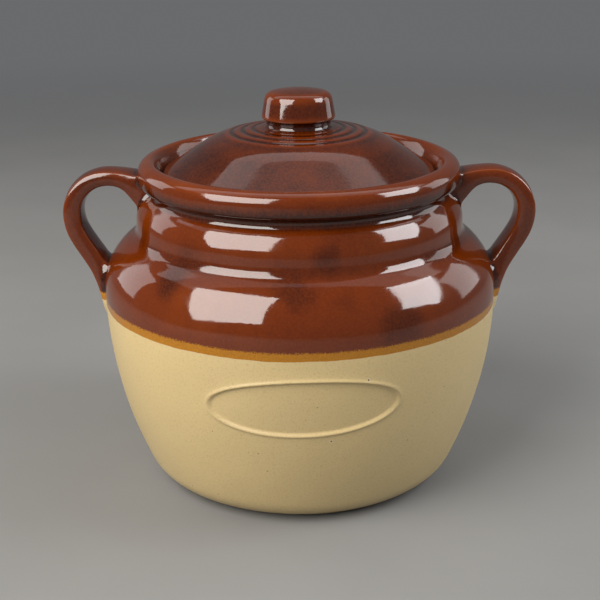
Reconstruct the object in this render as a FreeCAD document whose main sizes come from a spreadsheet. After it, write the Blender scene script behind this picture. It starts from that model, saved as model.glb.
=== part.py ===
import FreeCAD, Part
import math
import os
import re
import Sketcher

# Bean pot of glazed stoneware with two ear handles and a loose lid with a knob.
# Frame: the origin is on the table under the middle of the pot, +Z is up, +X points
# through the right-hand ear and -Y faces the viewer. Every size is in millimetres.
# The pieces are those of the potter's bench: the turned pot, two strap ears that are
# luted on, the turned lid and the knob that is luted on its crown.

# The driving sizes: alias, value, and what it measures.
SIZES = [
    ("belly_radius", 95.75, "widest radius of the pot"),
    ("belly_height", 100.5, "height of the widest circle"),
    ("wall_arc", 240.0, "long curve of the wall from the foot to the belly"),
    ("foot_corner", 18.8, "rounding from the wall to the foot"),
    ("shoulder_arc", 21.8, "curve of the shoulder above the belly"),
    ("neck_cove", 10.0, "hollow curve from the shoulder into the neck"),
    ("neck_radius", 79.1, "radius of the upright neck"),
    ("collar_height", 132.0, "where the neck starts to lean in as the collar"),
    ("collar_arc", 15.9, "curve of the collar"),
    ("groove_radius", 76.5, "centre of the turned groove under the rim"),
    ("groove_height", 143.6, "height of that groove"),
    ("groove_round", 1.8, "section radius of that groove"),
    ("rim_radius", 77.4, "outside of the rim band"),
    ("rim_edge", 1.0, "rounding under the rim band"),
    ("rim_corner", 3.2, "tight part of the rim's outer rounding"),
    ("rim_roll", 9.0, "wide part of the rim's outer rounding"),
    ("crest_radius", 70.5, "highest circle of the rim"),
    ("crest_height", 157.75, "height of the rim"),
    ("wall_thick", 6.2, "thickness of the wall"),
    ("lip_round", 1.4, "rounding from the rim's crest into the gallery"),
    ("gallery_radius", 66.6, "foot of the gallery wall beside the lid"),
    ("ledge_height", 147.7, "ledge that carries the lid"),
    ("mouth_radius", 60.0, "mouth of the pot, inside the ledge"),
    ("mouth_edge", 1.2, "rounding of the ledge into the mouth"),
    ("mouth_bottom", 143.0, "lower edge of the mouth"),
    ("floor_height", 7.8, "inside floor above the table"),
    ("floor_corner", 17.0, "inside rounding from the floor to the wall"),
    ("recess_radius", 55.0, "hollow under the foot"),
    ("recess_depth", 1.6, "depth of that hollow"),
    ("recess_slope", 1.2, "how far that hollow's edge leans in"),
    ("lid_radius", 65.0, "outside of the lid"),
    ("lid_bottom", 148.0, "flat bearing ring under the lid"),
    ("lid_under", 1.2, "rounding under the lid's edge"),
    ("lid_shoulder", 150.8, "where the lid's upright edge ends"),
    ("lid_edge", 1.9, "rounding over the lid's edge"),
    ("cone_angle", 33.0, "slope of the lid's lower dome in degrees"),
    ("dome_arc", 42.0, "curve between the lower dome and the crown"),
    ("crown_arc", 175.0, "gentle curve of the crown"),
    ("seat_radius", 17.4, "flat on the crown under the knob"),
    ("seat_height", 171.9, "height of that flat"),
    ("bearing_radius", 60.6, "inside of the lid's bearing ring"),
    ("lid_thick", 5.6, "thickness of the lid"),
    ("ring_first", 21.5, "innermost turned ring on the crown"),
    ("ring_pitch", 5.35, "distance between the turned rings"),
    ("ring_round", 1.5, "section radius of a turned ring"),
    ("ring_depth", 0.45, "depth of a turned ring"),
    ("knob_neck", 15.3, "narrowest radius under the knob's head"),
    ("knob_neck_height", 174.0, "height of that neck"),
    ("knob_cove", 2.4, "section radius of the hollow round the neck"),
    ("knob_radius", 17.6, "widest radius of the knob"),
    ("knob_wide_height", 177.1, "height of the widest circle"),
    ("knob_lip", 0.9, "rounding of the knob's lower lip"),
    ("knob_lean", 11.5, "lean of the knob's side in degrees"),
    ("knob_shoulder", 3.0, "rounding over the knob's top edge"),
    ("knob_top_arc", 90.0, "gentle curve of the knob's top"),
    ("knob_top", 189.6, "top of the knob"),
    ("ear_centre", 92.3, "centre of the ear's upper arc from the axis"),
    ("ear_height", 130.9, "height of that centre"),
    ("ear_arc", 17.6, "upper arc of the strap's middle line"),
    ("ear_bend", 24.0, "arc of the middle line below the widest point"),
    ("ear_lean", 31.3, "lean of the lower strap in degrees"),
    ("ear_run", 15.2, "straight run of the lower strap"),
    ("strap_thick_top", 8.5, "strap thickness at its top"),
    ("strap_thick", 9.7, "strap thickness at its side and below"),
    ("strap_wide_top", 16.4, "strap width at its top"),
    ("strap_wide", 17.2, "strap width at its side"),
    ("strap_round", 3.3, "rounding of the strap's edges"),
    ("root_across", 73.0, "start of the upper root, inside the rim"),
    ("root_up", 139.7, "middle of the upper root there"),
    ("root_thick", 20.5, "height of the upper root there"),
    ("root_wide", 20.5, "width of the upper root there"),
    ("flare_across", 80.0, "where the root's flare leaves the rim"),
    ("flare_up", 144.1, "middle of the flare there"),
    ("flare_thick", 13.9, "height of the flare there"),
    ("flare_wide", 18.5, "width of the flare there"),
    ("spring_across", 84.5, "where the flare has run out into the strap"),
    ("spring_up", 147.5, "middle of the strap there"),
    ("spring_thick", 9.5, "thickness of the strap there"),
    ("spring_wide", 17.0, "width of the strap there"),
    ("run_wide", 18.5, "strap width where the tail begins"),
    ("tail_across", 94.8, "middle of the tail where it comes to the wall"),
    ("tail_up", 96.9, "height of that middle"),
    ("tail_lean", 18.0, "lean of the tail there in degrees"),
    ("tail_thick", 9.9, "thickness of the tail there"),
    ("tail_wide", 21.6, "width of the tail there"),
    ("smear_across", 93.5, "middle of the tail where it is smeared on the wall"),
    ("smear_up", 90.0, "height of that middle"),
    ("smear_lean", 6.0, "lean of the tail there in degrees"),
    ("smear_thick", 8.6, "thickness of the tail there"),
    ("smear_wide", 23.4, "width of the tail there"),
    ("tongue_across", 92.9, "middle of the tail's thin tongue"),
    ("tongue_up", 84.3, "height of that middle"),
    ("tongue_lean", -2.0, "lean of the tongue in degrees"),
    ("tongue_thick", 6.4, "thickness of the tongue"),
    ("tongue_wide", 22.4, "width of the tongue"),
    ("tip_across", 91.0, "middle of the tongue's end, sunk in the wall"),
    ("tip_up", 79.4, "height of that end"),
    ("tip_lean", -12.0, "lean of that end in degrees"),
    ("tip_thick", 3.8, "thickness of that end"),
    ("tip_wide", 13.0, "width of that end"),
]

RINGS = 3
SHEET_WORD = {alias: "sizes." + alias for alias, _, _ in SIZES}
AXIS_START = FreeCAD.Vector(0, 0, 0)

doc = FreeCAD.newDocument("bean_pot")
sheet = doc.addObject("Spreadsheet::Sheet", "sizes")
size = {}


def fill_sheet():
    """Writes each driving size as a row: its alias, value and meaning."""
    for row, (alias, value, meaning) in enumerate(SIZES, start=1):
        sheet.set("A%d" % row, alias)
        sheet.set("B%d" % row, str(value))
        sheet.set("C%d" % row, meaning)
        sheet.setAlias("B%d" % row, alias)
        size[alias] = value
    doc.recompute()


def point(across, up):
    return FreeCAD.Vector(across, up, 0)


def towards(start, end, distance):
    """The point at a distance from start on the way to end."""
    way = (end - start).normalize()
    return start + way * distance


def tangent_touch(outside, centre, radius, side):
    """Where a line from a point touches a circle, on its left (+1) or right (-1)."""
    way = centre - outside
    lean = side * math.asin(radius / way.Length)
    run = math.sqrt(way.Length ** 2 - radius ** 2)
    angle = math.atan2(way.y, way.x) + lean
    return outside + point(run * math.cos(angle), run * math.sin(angle))


class Outline:
    """A closed chain of lines and arcs in one sketch, with its sizes bound to the sheet."""

    def __init__(self, body, name):
        self.sketch = body.newObject("Sketcher::SketchObject", name)
        plane = [part for part in body.Origin.OriginFeatures if part.Role == "XZ_Plane"][0]
        self.sketch.AttachmentSupport = [(plane, "")]
        self.sketch.MapMode = "FlatFace"
        self.links = []

    def _join(self, piece, first, last, tangent):
        """Ties a new piece's first end to the last piece's free end."""
        if self.links:
            previous, _, free = self.links[-1]
            kind = "Tangent" if tangent else "Coincident"
            self.tie(kind, previous, free, piece, first)
        self.links.append((piece, first, last))
        return piece

    def line(self, start, end, tangent=False):
        piece = self.sketch.addGeometry(Part.LineSegment(start, end), False)
        return self._join(piece, 1, 2, tangent)

    def arc(self, start, end, centre, tangent=True):
        """The shorter arc from start to end."""
        ray_start = start - centre
        ray_end = end - centre
        turns_left = ray_start.cross(ray_end).z > 0
        first, last = (ray_start, ray_end) if turns_left else (ray_end, ray_start)
        circle = Part.Circle(centre, FreeCAD.Vector(0, 0, 1), ray_start.Length)
        from_angle = math.atan2(first.y, first.x)
        to_angle = math.atan2(last.y, last.x)
        piece = self.sketch.addGeometry(Part.ArcOfCircle(circle, from_angle, to_angle), False)
        return self._join(piece, 1 if turns_left else 2, 2 if turns_left else 1, tangent)

    def close(self):
        first_piece, first_end, _ = self.links[0]
        last_piece, _, free = self.links[-1]
        self.tie("Coincident", last_piece, free, first_piece, first_end)

    def start(self, piece):
        return self.links[piece][1]

    def end(self, piece):
        return self.links[piece][2]

    def tie(self, kind, *where):
        """A constraint with no size."""
        return self.sketch.addConstraint(Sketcher.Constraint(kind, *where))

    def bind(self, kind, *where, to):
        """A constraint whose size is an expression on the sheet."""
        start_value = value_of(to)
        if kind == "Angle":
            start_value = math.radians(start_value)
        constraint = Sketcher.Constraint(kind, *where, start_value)
        number = self.sketch.addConstraint(constraint)
        self.sketch.setExpression("Constraints[%d]" % number, bound(to))
        return number

    def place(self, piece, end, across=None, up=None):
        """Fixes an end of a piece (or 3, its centre) by distances from the axis and the table."""
        if across is not None:
            self.bind("DistanceX", -1, 1, piece, end, to=across)
        if up is not None:
            self.bind("DistanceY", -1, 1, piece, end, to=up)

    def on_axis(self, piece, end):
        self.tie("PointOnObject", piece, end, -2)

    def level(self, piece):
        self.tie("Horizontal", piece)

    def upright(self, piece):
        self.tie("Vertical", piece)


def bound(text):
    """An expression in the sheet's aliases, with each alias looked up on the sheet."""
    return re.sub("[a-z_]+", lambda word: SHEET_WORD.get(word[0], word[0]), text)


def value_of(text):
    """The number that such an expression gives with the sizes as they are."""
    return float(sheet.evalExpression(bound(text)))


def revolve(body, outline, name):
    """Turns an outline into a solid of revolution about the pot's axis."""
    feature = body.newObject("PartDesign::Revolution", name)
    feature.Profile = outline.sketch
    feature.ReferenceAxis = (outline.sketch, ["V_Axis"])
    feature.Angle = 360
    doc.recompute()
    return feature


def groove(body, outline, name):
    """Turns an outline away from the body, and checks that it took clay away."""
    before = body.Shape.Volume
    feature = body.newObject("PartDesign::Groove", name)
    feature.Profile = outline.sketch
    feature.ReferenceAxis = (outline.sketch, ["V_Axis"])
    feature.Angle = 360
    doc.recompute()
    if not body.Shape.Volume < before:
        raise RuntimeError(name + " takes nothing away")
    return feature


def circles_meet(first, first_radius, second, second_radius, side):
    """A crossing of two circles, on the left (+1) or right (-1) of the way between centres."""
    way = second - first
    along = (way.Length ** 2 + first_radius ** 2 - second_radius ** 2) / (2 * way.Length)
    across = side * math.sqrt(first_radius ** 2 - along ** 2)
    unit = way.normalize()
    return first + unit * along + point(-unit.y, unit.x) * across


def beside(centre, across, distance, side):
    """The point at a distance from a centre and across from the axis, above (+1) or below (-1)."""
    rise = math.sqrt(distance ** 2 - (across - centre.x) ** 2)
    return point(across, centre.y + side * rise)


def cove_centre():
    """The centre of the hollow curve between shoulder and neck."""
    shoulder = point(size["belly_radius"] - size["shoulder_arc"], size["belly_height"])
    reach = size["shoulder_arc"] + size["neck_cove"]
    return beside(shoulder, size["neck_radius"] + size["neck_cove"], reach, 1)


def pot_outside(body):
    """The outside of the pot from the foot up to the crest of the rim."""
    belly = point(size["belly_radius"], size["belly_height"])
    wall = belly - point(size["wall_arc"], 0)
    drop = size["belly_height"] - size["foot_corner"]
    reach = size["wall_arc"] - size["foot_corner"]
    foot = point(wall.x + math.sqrt(reach ** 2 - drop ** 2), size["foot_corner"])
    foot_top = towards(wall, foot, size["wall_arc"])
    shoulder = belly - point(size["shoulder_arc"], 0)
    cove = cove_centre()
    shoulder_top = towards(shoulder, cove, size["shoulder_arc"])
    neck_low = point(size["neck_radius"], cove.y)
    neck_high = point(size["neck_radius"], size["collar_height"])
    collar = neck_high - point(size["collar_arc"], 0)
    groove_at = point(size["groove_radius"], size["groove_height"])
    collar_top = circles_meet(collar, size["collar_arc"], groove_at, size["groove_round"], 1)
    edge_across = size["rim_radius"] - size["rim_edge"]
    edge = beside(groove_at, edge_across, size["groove_round"] + size["rim_edge"], 1)
    groove_top = towards(groove_at, edge, size["groove_round"])
    crest = point(size["crest_radius"], size["crest_height"])
    roll = crest - point(0, size["rim_roll"])
    corner_across = size["rim_radius"] - size["rim_corner"]
    corner = beside(roll, corner_across, size["rim_roll"] - size["rim_corner"], 1)
    roll_end = towards(roll, corner, size["rim_roll"])

    outline = Outline(body, "pot_outside")
    base = outline.line(AXIS_START, point(foot.x, 0))
    foot_arc = outline.arc(point(foot.x, 0), foot_top, foot)
    wall_arc = outline.arc(foot_top, belly, wall)
    shoulder_arc = outline.arc(belly, shoulder_top, shoulder)
    cove_arc = outline.arc(shoulder_top, neck_low, cove)
    neck = outline.line(neck_low, neck_high, tangent=True)
    collar_arc = outline.arc(neck_high, collar_top, collar)
    groove_arc = outline.arc(collar_top, groove_top, groove_at, tangent=False)
    edge_arc = outline.arc(groove_top, edge + point(size["rim_edge"], 0), edge)
    rim_high = corner + point(size["rim_corner"], 0)
    rim_side = outline.line(edge + point(size["rim_edge"], 0), rim_high, tangent=True)
    corner_arc = outline.arc(rim_high, roll_end, corner)
    roll_arc = outline.arc(roll_end, crest, roll)
    top = outline.line(crest, point(0, crest.y), tangent=True)
    outline.line(point(0, crest.y), AXIS_START)
    outline.close()

    outline.tie("Coincident", base, 1, -1, 1)
    outline.level(base)
    outline.place(wall_arc, outline.end(wall_arc), "belly_radius", "belly_height")
    outline.tie("Horizontal", wall_arc, outline.end(wall_arc), shoulder_arc, 3)
    outline.place(neck, 1, across="neck_radius")
    outline.place(neck, 2, up="collar_height")
    outline.place(groove_arc, 3, "groove_radius", "groove_height")
    outline.place(rim_side, 1, across="rim_radius")
    outline.place(roll_arc, outline.end(roll_arc), "crest_radius", "crest_height")
    for straight in (neck, rim_side):
        outline.upright(straight)
    outline.level(top)
    outline.on_axis(top, 2)
    radii = {
        foot_arc: "foot_corner",
        wall_arc: "wall_arc",
        shoulder_arc: "shoulder_arc",
        cove_arc: "neck_cove",
        collar_arc: "collar_arc",
        groove_arc: "groove_round",
        edge_arc: "rim_edge",
        corner_arc: "rim_corner",
        roll_arc: "rim_roll",
    }
    for arc, alias in radii.items():
        outline.bind("Radius", arc, to=alias)
    return outline


def pot_inside(body):
    """The space inside the pot: gallery, ledge, mouth, and a wall of even thickness."""
    thick = size["wall_thick"]
    crest = point(size["crest_radius"], size["crest_height"])
    lip = crest - point(0, size["lip_round"])
    gallery = point(size["gallery_radius"], size["ledge_height"])
    lip_end = tangent_touch(gallery, lip, size["lip_round"], 1)
    edge = point(size["mouth_radius"] + size["mouth_edge"], size["ledge_height"] - size["mouth_edge"])
    mouth_low = point(size["mouth_radius"], size["mouth_bottom"])
    cove = cove_centre()
    neck = cove - point(size["neck_cove"] + thick, 0)
    inset = neck.x - mouth_low.x
    vault = (inset ** 2 + (mouth_low.y - neck.y) ** 2) / (2 * inset)
    under = neck - point(vault, 0)
    belly = point(size["belly_radius"] - thick, size["belly_height"])
    shoulder = point(size["belly_radius"] - size["shoulder_arc"], size["belly_height"])
    shoulder_top = towards(shoulder, cove, size["shoulder_arc"] - thick)
    wall = point(size["belly_radius"] - size["wall_arc"], size["belly_height"])
    drop = size["belly_height"] - size["floor_height"] - size["floor_corner"]
    reach = size["wall_arc"] - thick - size["floor_corner"]
    corner_up = size["floor_height"] + size["floor_corner"]
    corner = point(wall.x + math.sqrt(reach ** 2 - drop ** 2), corner_up)
    corner_top = towards(wall, corner, size["wall_arc"] - thick)
    corner_low = corner - point(0, size["floor_corner"])

    outline = Outline(body, "pot_inside")
    top = outline.line(point(0, crest.y), crest)
    lip_arc = outline.arc(crest, lip_end, lip)
    outline.line(lip_end, gallery, tangent=True)
    ledge = outline.line(gallery, edge + point(0, size["mouth_edge"]))
    edge_arc = outline.arc(edge + point(0, size["mouth_edge"]), edge - point(size["mouth_edge"], 0), edge)
    mouth = outline.line(edge - point(size["mouth_edge"], 0), mouth_low, tangent=True)
    under_arc = outline.arc(mouth_low, neck, under, tangent=False)
    cove_arc = outline.arc(neck, shoulder_top, cove)
    shoulder_arc = outline.arc(shoulder_top, belly, shoulder)
    wall_arc = outline.arc(belly, corner_top, wall)
    corner_arc = outline.arc(corner_top, corner_low, corner)
    floor = outline.line(corner_low, point(0, corner_low.y), tangent=True)
    outline.line(point(0, corner_low.y), point(0, crest.y))
    outline.close()

    outline.on_axis(top, 1)
    outline.level(top)
    outline.place(top, 2, "crest_radius", "crest_height")
    outline.place(ledge, 1, "gallery_radius", "ledge_height")
    outline.level(ledge)
    outline.upright(mouth)
    outline.place(mouth, 2, "mouth_radius", "mouth_bottom")
    outline.place(cove_arc, 3, across="neck_radius + neck_cove")
    outline.tie("Horizontal", under_arc, outline.end(under_arc), cove_arc, 3)
    outline.place(shoulder_arc, 3, "belly_radius - shoulder_arc", "belly_height")
    outline.tie("Horizontal", wall_arc, outline.start(wall_arc), shoulder_arc, 3)
    outline.level(floor)
    outline.on_axis(floor, 2)
    outline.place(floor, 2, up="floor_height")
    radii = {
        lip_arc: "lip_round",
        edge_arc: "mouth_edge",
        cove_arc: "neck_cove + wall_thick",
        shoulder_arc: "shoulder_arc - wall_thick",
        wall_arc: "wall_arc - wall_thick",
        corner_arc: "floor_corner",
    }
    for arc, alias in radii.items():
        outline.bind("Radius", arc, to=alias)
    return outline


def foot_recess(body):
    """The shallow hollow inside the foot ring."""
    inner = point(size["recess_radius"] - size["recess_slope"], size["recess_depth"])
    outline = Outline(body, "foot_recess")
    base = outline.line(AXIS_START, point(size["recess_radius"], 0))
    outline.line(point(size["recess_radius"], 0), inner)
    roof = outline.line(inner, point(0, inner.y))
    outline.line(point(0, inner.y), AXIS_START)
    outline.close()
    outline.tie("Coincident", base, 1, -1, 1)
    outline.level(base)
    outline.place(base, 2, across="recess_radius")
    outline.place(roof, 1, "recess_radius - recess_slope", "recess_depth")
    outline.level(roof)
    outline.on_axis(roof, 2)
    return outline


def make_pot():
    """The turned pot, and the outline that the ears are cut to."""
    body = doc.addObject("PartDesign::Body", "pot_body")
    outside = pot_outside(body)
    revolve(body, outside, "turned_pot")
    groove(body, pot_inside(body), "hollow_inside")
    groove(body, foot_recess(body), "hollow_foot")
    return body, outside


def lid_points():
    """The centres and junctions of the lid's upper outline, from its edge to its crown."""
    slope = math.radians(size["cone_angle"])
    out = point(math.sin(slope), math.cos(slope))
    edge = point(size["lid_radius"] - size["lid_edge"], size["lid_shoulder"])
    cone_low = edge + out * size["lid_edge"]
    crown_up = size["seat_height"] - math.sqrt(size["crown_arc"] ** 2 - size["seat_radius"] ** 2)
    crown = point(0, crown_up)
    # The dome arc's centre lies its own radius inside the cone and inside the crown's circle.
    inside = cone_low - out * size["dome_arc"]
    along = point(-out.y, out.x)
    reach = size["crown_arc"] - size["dome_arc"]
    offset = inside - crown
    half = offset.dot(along)
    run = -half + math.sqrt(half ** 2 - offset.dot(offset) + reach ** 2)
    dome = inside + along * run
    return out, edge, cone_low, crown, dome


def lid_outside(body):
    """The lid from its flat bearing ring over the edge, the cone and the dome to the crown."""
    out, edge, cone_low, crown, dome = lid_points()
    under = point(size["lid_radius"] - size["lid_under"], size["lid_bottom"] + size["lid_under"])
    cone_high = dome + out * size["dome_arc"]
    dome_high = towards(crown, dome, size["crown_arc"])
    seat = point(size["seat_radius"], size["seat_height"])

    outline = Outline(body, "lid_outside")
    bottom = outline.line(point(0, size["lid_bottom"]), under - point(0, size["lid_under"]))
    under_arc = outline.arc(under - point(0, size["lid_under"]), under + point(size["lid_under"], 0), under)
    edge_start = edge + point(size["lid_edge"], 0)
    side = outline.line(under + point(size["lid_under"], 0), edge_start, tangent=True)
    edge_arc = outline.arc(edge_start, cone_low, edge)
    cone = outline.line(cone_low, cone_high, tangent=True)
    dome_arc = outline.arc(cone_high, dome_high, dome)
    crown_arc = outline.arc(dome_high, seat, crown)
    flat = outline.line(seat, point(0, seat.y))
    outline.line(point(0, seat.y), point(0, size["lid_bottom"]))
    outline.close()

    outline.on_axis(bottom, 1)
    outline.level(bottom)
    outline.place(bottom, 1, up="lid_bottom")
    outline.upright(side)
    outline.place(side, 2, "lid_radius", "lid_shoulder")
    outline.bind("Angle", cone, 2, -1, 1, to="cone_angle")
    outline.on_axis(crown_arc, 3)
    outline.place(crown_arc, outline.end(crown_arc), "seat_radius", "seat_height")
    outline.level(flat)
    outline.on_axis(flat, 2)
    radii = {
        under_arc: "lid_under",
        edge_arc: "lid_edge",
        dome_arc: "dome_arc",
        crown_arc: "crown_arc",
    }
    for arc, alias in radii.items():
        outline.bind("Radius", arc, to=alias)
    return outline


CROWN_HEIGHT = "seat_height - sqrt( crown_arc ^ 2 - seat_radius ^ 2 )"


def lid_inside(body):
    """The hollow under the lid: its upper side moved in by the lid's thickness."""
    out, _, _, crown, dome = lid_points()
    thick = size["lid_thick"]
    start = point(size["bearing_radius"], size["lid_bottom"])
    along = point(-out.y, out.x)
    # The slope is kept, so the dome's centre moves with the slope's place.
    offset = start - out * (size["dome_arc"] - thick) - crown
    half = offset.dot(along)
    reach = size["crown_arc"] - size["dome_arc"]
    run = -half + math.sqrt(half ** 2 - offset.dot(offset) + reach ** 2)
    dome = crown + offset + along * run
    cone_high = dome + out * (size["dome_arc"] - thick)
    dome_high = towards(crown, dome, size["crown_arc"] - thick)
    apex = crown + point(0, size["crown_arc"] - thick)

    outline = Outline(body, "lid_inside")
    bottom = outline.line(point(0, start.y), start)
    cone = outline.line(start, cone_high)
    dome_arc = outline.arc(cone_high, dome_high, dome)
    crown_arc = outline.arc(dome_high, apex, crown)
    outline.line(apex, point(0, start.y))
    outline.close()

    outline.on_axis(bottom, 1)
    outline.level(bottom)
    outline.place(bottom, 2, "bearing_radius", "lid_bottom")
    outline.bind("Angle", cone, 2, -1, 1, to="cone_angle")
    outline.on_axis(crown_arc, 3)
    outline.place(crown_arc, 3, up=CROWN_HEIGHT)
    outline.on_axis(crown_arc, outline.end(crown_arc))
    outline.bind("Radius", dome_arc, to="dome_arc - lid_thick")
    outline.bind("Radius", crown_arc, to="crown_arc - lid_thick")
    return outline


def crown_rings(body):
    """The section circles of the rings turned into the crown."""
    outline = Outline(body, "crown_rings")
    reach = "crown_arc + ring_round - ring_depth"
    for ring in range(RINGS):
        across = "ring_first + %d * ring_pitch" % ring
        up = "%s + sqrt( ( %s ) ^ 2 - ( %s ) ^ 2 )" % (CROWN_HEIGHT, reach, across)
        centre = point(value_of(across), value_of(up))
        circle = Part.Circle(centre, FreeCAD.Vector(0, 0, 1), size["ring_round"])
        piece = outline.sketch.addGeometry(circle, False)
        outline.bind("Radius", piece, to="ring_round")
        outline.place(piece, 3, across, up)
    return outline


def make_lid():
    """The turned lid, which drops into the rim and rests on the ledge."""
    body = doc.addObject("PartDesign::Body", "lid")
    revolve(body, lid_outside(body), "turned_lid")
    groove(body, lid_inside(body), "hollow_under_lid")
    groove(body, crown_rings(body), "turned_rings")
    return body


def make_knob():
    """The knob: a cove round its foot, a sharp lower lip, leaning sides and a soft top."""
    seat = size["seat_height"]
    cove = point(size["knob_neck"] + size["knob_cove"], size["knob_neck_height"])
    foot = point(cove.x - math.sqrt(size["knob_cove"] ** 2 - (cove.y - seat) ** 2), seat)
    lean = math.radians(size["knob_lean"])
    out = point(math.cos(lean), math.sin(lean))
    lip = point(size["knob_radius"], size["knob_wide_height"]) - out * size["knob_lip"]
    meet = circles_meet(cove, size["knob_cove"], lip, size["knob_lip"], 1)
    side_low = lip + out * size["knob_lip"]
    top = point(0, size["knob_top"] - size["knob_top_arc"])
    along = point(-out.y, out.x)
    inside = side_low - out * size["knob_shoulder"] - top
    half = inside.dot(along)
    reach = size["knob_top_arc"] - size["knob_shoulder"]
    run = -half + math.sqrt(half ** 2 - inside.dot(inside) + reach ** 2)
    shoulder = top + inside + along * run
    side_high = shoulder + out * size["knob_shoulder"]
    rim = towards(top, shoulder, size["knob_top_arc"])
    apex = point(0, size["knob_top"])

    body = doc.addObject("PartDesign::Body", "lid_knob")
    outline = Outline(body, "knob_outline")
    base = outline.line(point(0, seat), foot)
    cove_arc = outline.arc(foot, meet, cove, tangent=False)
    lip_arc = outline.arc(meet, side_low, lip, tangent=False)
    side = outline.line(side_low, side_high, tangent=True)
    shoulder_arc = outline.arc(side_high, rim, shoulder)
    top_arc = outline.arc(rim, apex, top)
    outline.line(apex, point(0, seat))
    outline.close()

    outline.on_axis(base, 1)
    outline.level(base)
    outline.place(base, 1, up="seat_height")
    outline.place(cove_arc, 3, "knob_neck + knob_cove", "knob_neck_height")
    outline.place(side, 1, "knob_radius", "knob_wide_height")
    outline.bind("Angle", -1, 1, side, 1, to="90 + knob_lean")
    outline.on_axis(top_arc, 3)
    outline.place(top_arc, outline.end(top_arc), up="knob_top")
    outline.on_axis(top_arc, outline.end(top_arc))
    radii = {
        cove_arc: "knob_cove",
        lip_arc: "knob_lip",
        shoulder_arc: "knob_shoulder",
        top_arc: "knob_top_arc",
    }
    for arc, alias in radii.items():
        outline.bind("Radius", arc, to=alias)
    revolve(body, outline, "turned_knob")
    return body



# The strap's sections in order along the ear: the middle's place across and up, the turn
# in degrees from facing away from the pot, the thickness and the width.
OVER = ("ear_centre + ear_arc * sin( %s )", "ear_height + ear_arc * cos( %s )")
UNDER = (
    "ear_centre + ear_arc - ear_bend + ear_bend * cos( %s )",
    "ear_height - ear_bend * sin( %s )",
)
RUN_END = (
    UNDER[0] % "ear_lean" + " - ear_run * sin( ear_lean )",
    UNDER[1] % "ear_lean" + " - ear_run * cos( ear_lean )",
)
HALF_THICK = "( strap_thick_top + strap_thick ) / 2"
HALF_WIDE = "( strap_wide_top + strap_wide ) / 2"
HALF_LEAN = "ear_lean / 2"
STRAP_SECTIONS = [
    ("root_across", "root_up", "0", "root_thick", "root_wide"),
    ("flare_across", "flare_up", "0", "flare_thick", "flare_wide"),
    ("spring_across", "spring_up", "0", "spring_thick", "spring_wide"),
    (OVER[0] % "0", OVER[1] % "0", "0", "strap_thick_top", "strap_wide_top"),
    (OVER[0] % "45", OVER[1] % "45", "45", HALF_THICK, HALF_WIDE),
    (OVER[0] % "90", OVER[1] % "90", "90", "strap_thick", "strap_wide"),
    (UNDER[0] % HALF_LEAN, UNDER[1] % HALF_LEAN, "90 + " + HALF_LEAN, "strap_thick", "strap_wide"),
    (UNDER[0] % "ear_lean", UNDER[1] % "ear_lean", "90 + ear_lean", "strap_thick", "strap_wide"),
    (RUN_END[0], RUN_END[1], "90 + ear_lean", "strap_thick", "run_wide"),
    ("tail_across", "tail_up", "90 + tail_lean", "tail_thick", "tail_wide"),
    ("smear_across", "smear_up", "90 + smear_lean", "smear_thick", "smear_wide"),
    ("tongue_across", "tongue_up", "90 + tongue_lean", "tongue_thick", "tongue_wide"),
    ("tip_across", "tip_up", "90 + tip_lean", "tip_thick", "tip_wide"),
]


def strap_section(body, number, section):
    """A rounded rectangle across the strap, centred on the strap's middle line."""
    across, up, turn, thick, wide = section
    outline = Outline(body, "strap_section_%d" % number)
    sketch = outline.sketch
    plane = [part for part in body.Origin.OriginFeatures if part.Role == "YZ_Plane"][0]
    sketch.AttachmentSupport = [(plane, "")]
    sketch.setExpression("AttachmentOffset.Base.y", bound(up))
    sketch.setExpression("AttachmentOffset.Base.z", bound(across))
    sketch.AttachmentOffset = FreeCAD.Placement(
        FreeCAD.Vector(0, value_of(up), value_of(across)),
        FreeCAD.Rotation(FreeCAD.Vector(1, 0, 0), value_of(turn)),
    )
    sketch.setExpression("AttachmentOffset.Rotation.Angle", bound(turn))

    rounding = "min( strap_round ; 0.45 * ( %s ) )" % thick
    inset_wide = "( %s ) / 2 - %s" % (wide, rounding)
    inset_thick = "( %s ) / 2 - %s" % (thick, rounding)
    radius = value_of(rounding)
    out = (point(1, 0), point(0, 1), point(-1, 0), point(0, -1))
    corners = ((1, 1), (-1, 1), (-1, -1), (1, -1))
    centres = [point(x * value_of(inset_wide), y * value_of(inset_thick)) for x, y in corners]
    arcs = []
    sides = []
    for turn_number in range(4):
        centre = centres[turn_number]
        start = centre + out[turn_number] * radius
        end = centre + out[(turn_number + 1) % 4] * radius
        arcs.append(outline.arc(start, end, centre))
        reach = centres[(turn_number + 1) % 4] + out[(turn_number + 1) % 4] * radius
        sides.append(outline.line(end, reach, tangent=True))
    outline.tie("Tangent", sides[3], 2, arcs[0], 1)
    for side in (sides[0], sides[2]):
        outline.level(side)
    for side in (sides[1], sides[3]):
        outline.upright(side)
    for arc in arcs[1:]:
        outline.tie("Equal", arcs[0], arc)
    outline.tie("Symmetric", arcs[0], 3, arcs[2], 3, -1, 1)
    outline.place(arcs[0], 3, inset_wide, inset_thick)
    outline.bind("Radius", arcs[0], to=rounding)
    return sketch


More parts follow.
